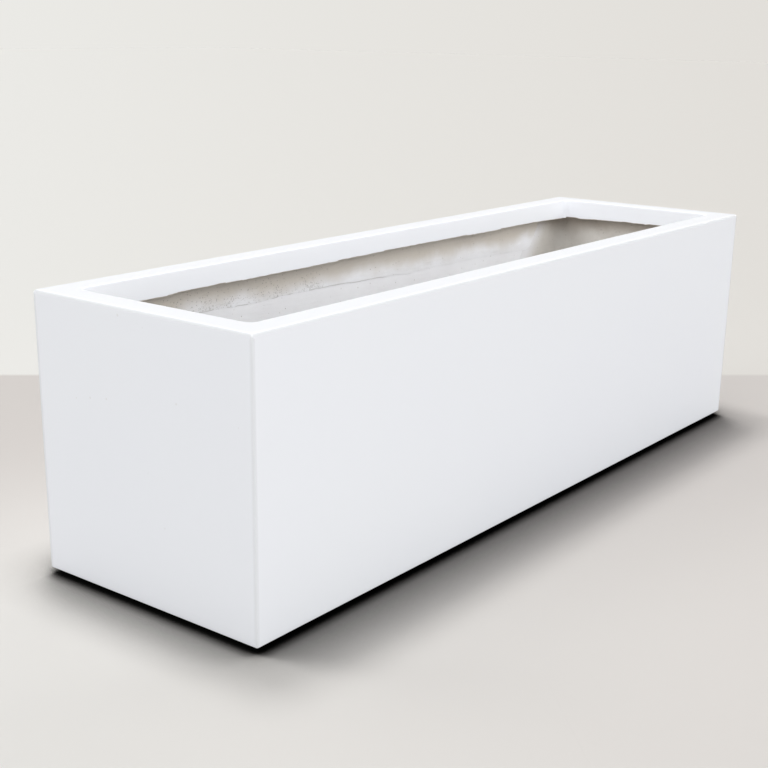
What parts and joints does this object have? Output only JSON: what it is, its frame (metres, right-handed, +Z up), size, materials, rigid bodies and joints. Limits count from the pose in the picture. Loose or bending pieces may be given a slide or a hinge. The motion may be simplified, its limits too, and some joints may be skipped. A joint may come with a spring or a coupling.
{
  "type": "trough planter",
  "caption": "Long straight-sided trough planter in satin white laminate, with a flat rim turned down inside, raw fibre interior, plugged drains and rubber foot pads.",
  "frame": {"origin": "on the floor, under the middle of the trough", "axes": "+X along the trough towards its right end, +Y towards its back, +Z up"},
  "size_m": [1.2, 0.35, 0.358],
  "materials": {
    "white_gelcoat": "satin white gelcoat on fibre laminate, raw grey fibre on the inner face",
    "raw_laminate": "rough hand-laid fibre mat, light grey, uncoated",
    "drain_plastic": "moulded dark grey plastic",
    "plug_rubber": "matte black rubber",
    "pad_rubber": "matte black rubber",
    "fastener_steel": "plain stainless steel"
  },
  "bodies": {
    "trough": {"front_wall": "white_gelcoat", "back_wall": "white_gelcoat", "left_end_wall": "white_gelcoat", "right_end_wall": "white_gelcoat", "base_panel": "raw_laminate", "front_rim": "white_gelcoat", "back_rim": "white_gelcoat", "left_rim": "white_gelcoat", "right_rim": "white_gelcoat", "front_lap_strip": "raw_laminate", "back_lap_strip": "raw_laminate", "left_lap_strip": "raw_laminate", "right_lap_strip": "raw_laminate", "front_base_tape": "raw_laminate", "back_base_tape": "raw_laminate", "left_base_tape": "raw_laminate", "right_base_tape": "raw_laminate", "front_left_corner_tape": "raw_laminate", "front_right_corner_tape": "raw_laminate", "back_left_corner_tape": "raw_laminate", "back_right_corner_tape": "raw_laminate", "left_drain_bush": "drain_plastic", "centre_drain_bush": "drain_plastic", "right_drain_bush": "drain_plastic", "front_left_foot_pad": "pad_rubber", "front_centre_foot_pad": "pad_rubber", "front_right_foot_pad": "pad_rubber", "back_left_foot_pad": "pad_rubber", "back_centre_foot_pad": "pad_rubber", "back_right_foot_pad": "pad_rubber", "foot_washers": "fastener_steel", "foot_screws": "fastener_steel"},
    "left_plug": {"left_drain_plug": "plug_rubber"},
    "centre_plug": {"centre_drain_plug": "plug_rubber"},
    "right_plug": {"right_drain_plug": "plug_rubber"}
  },
  "joints": [
    {"name": "left_plug_lift", "type": "slide", "parent": "trough", "child": "left_plug", "axis": [0, 0, 1], "range_m": [0, 0.38]},
    {"name": "centre_plug_lift", "type": "slide", "parent": "trough", "child": "centre_plug", "axis": [0, 0, 1], "range_m": [0, 0.38]},
    {"name": "right_plug_lift", "type": "slide", "parent": "trough", "child": "right_plug", "axis": [0, 0, 1], "range_m": [0, 0.38]}
  ]
}
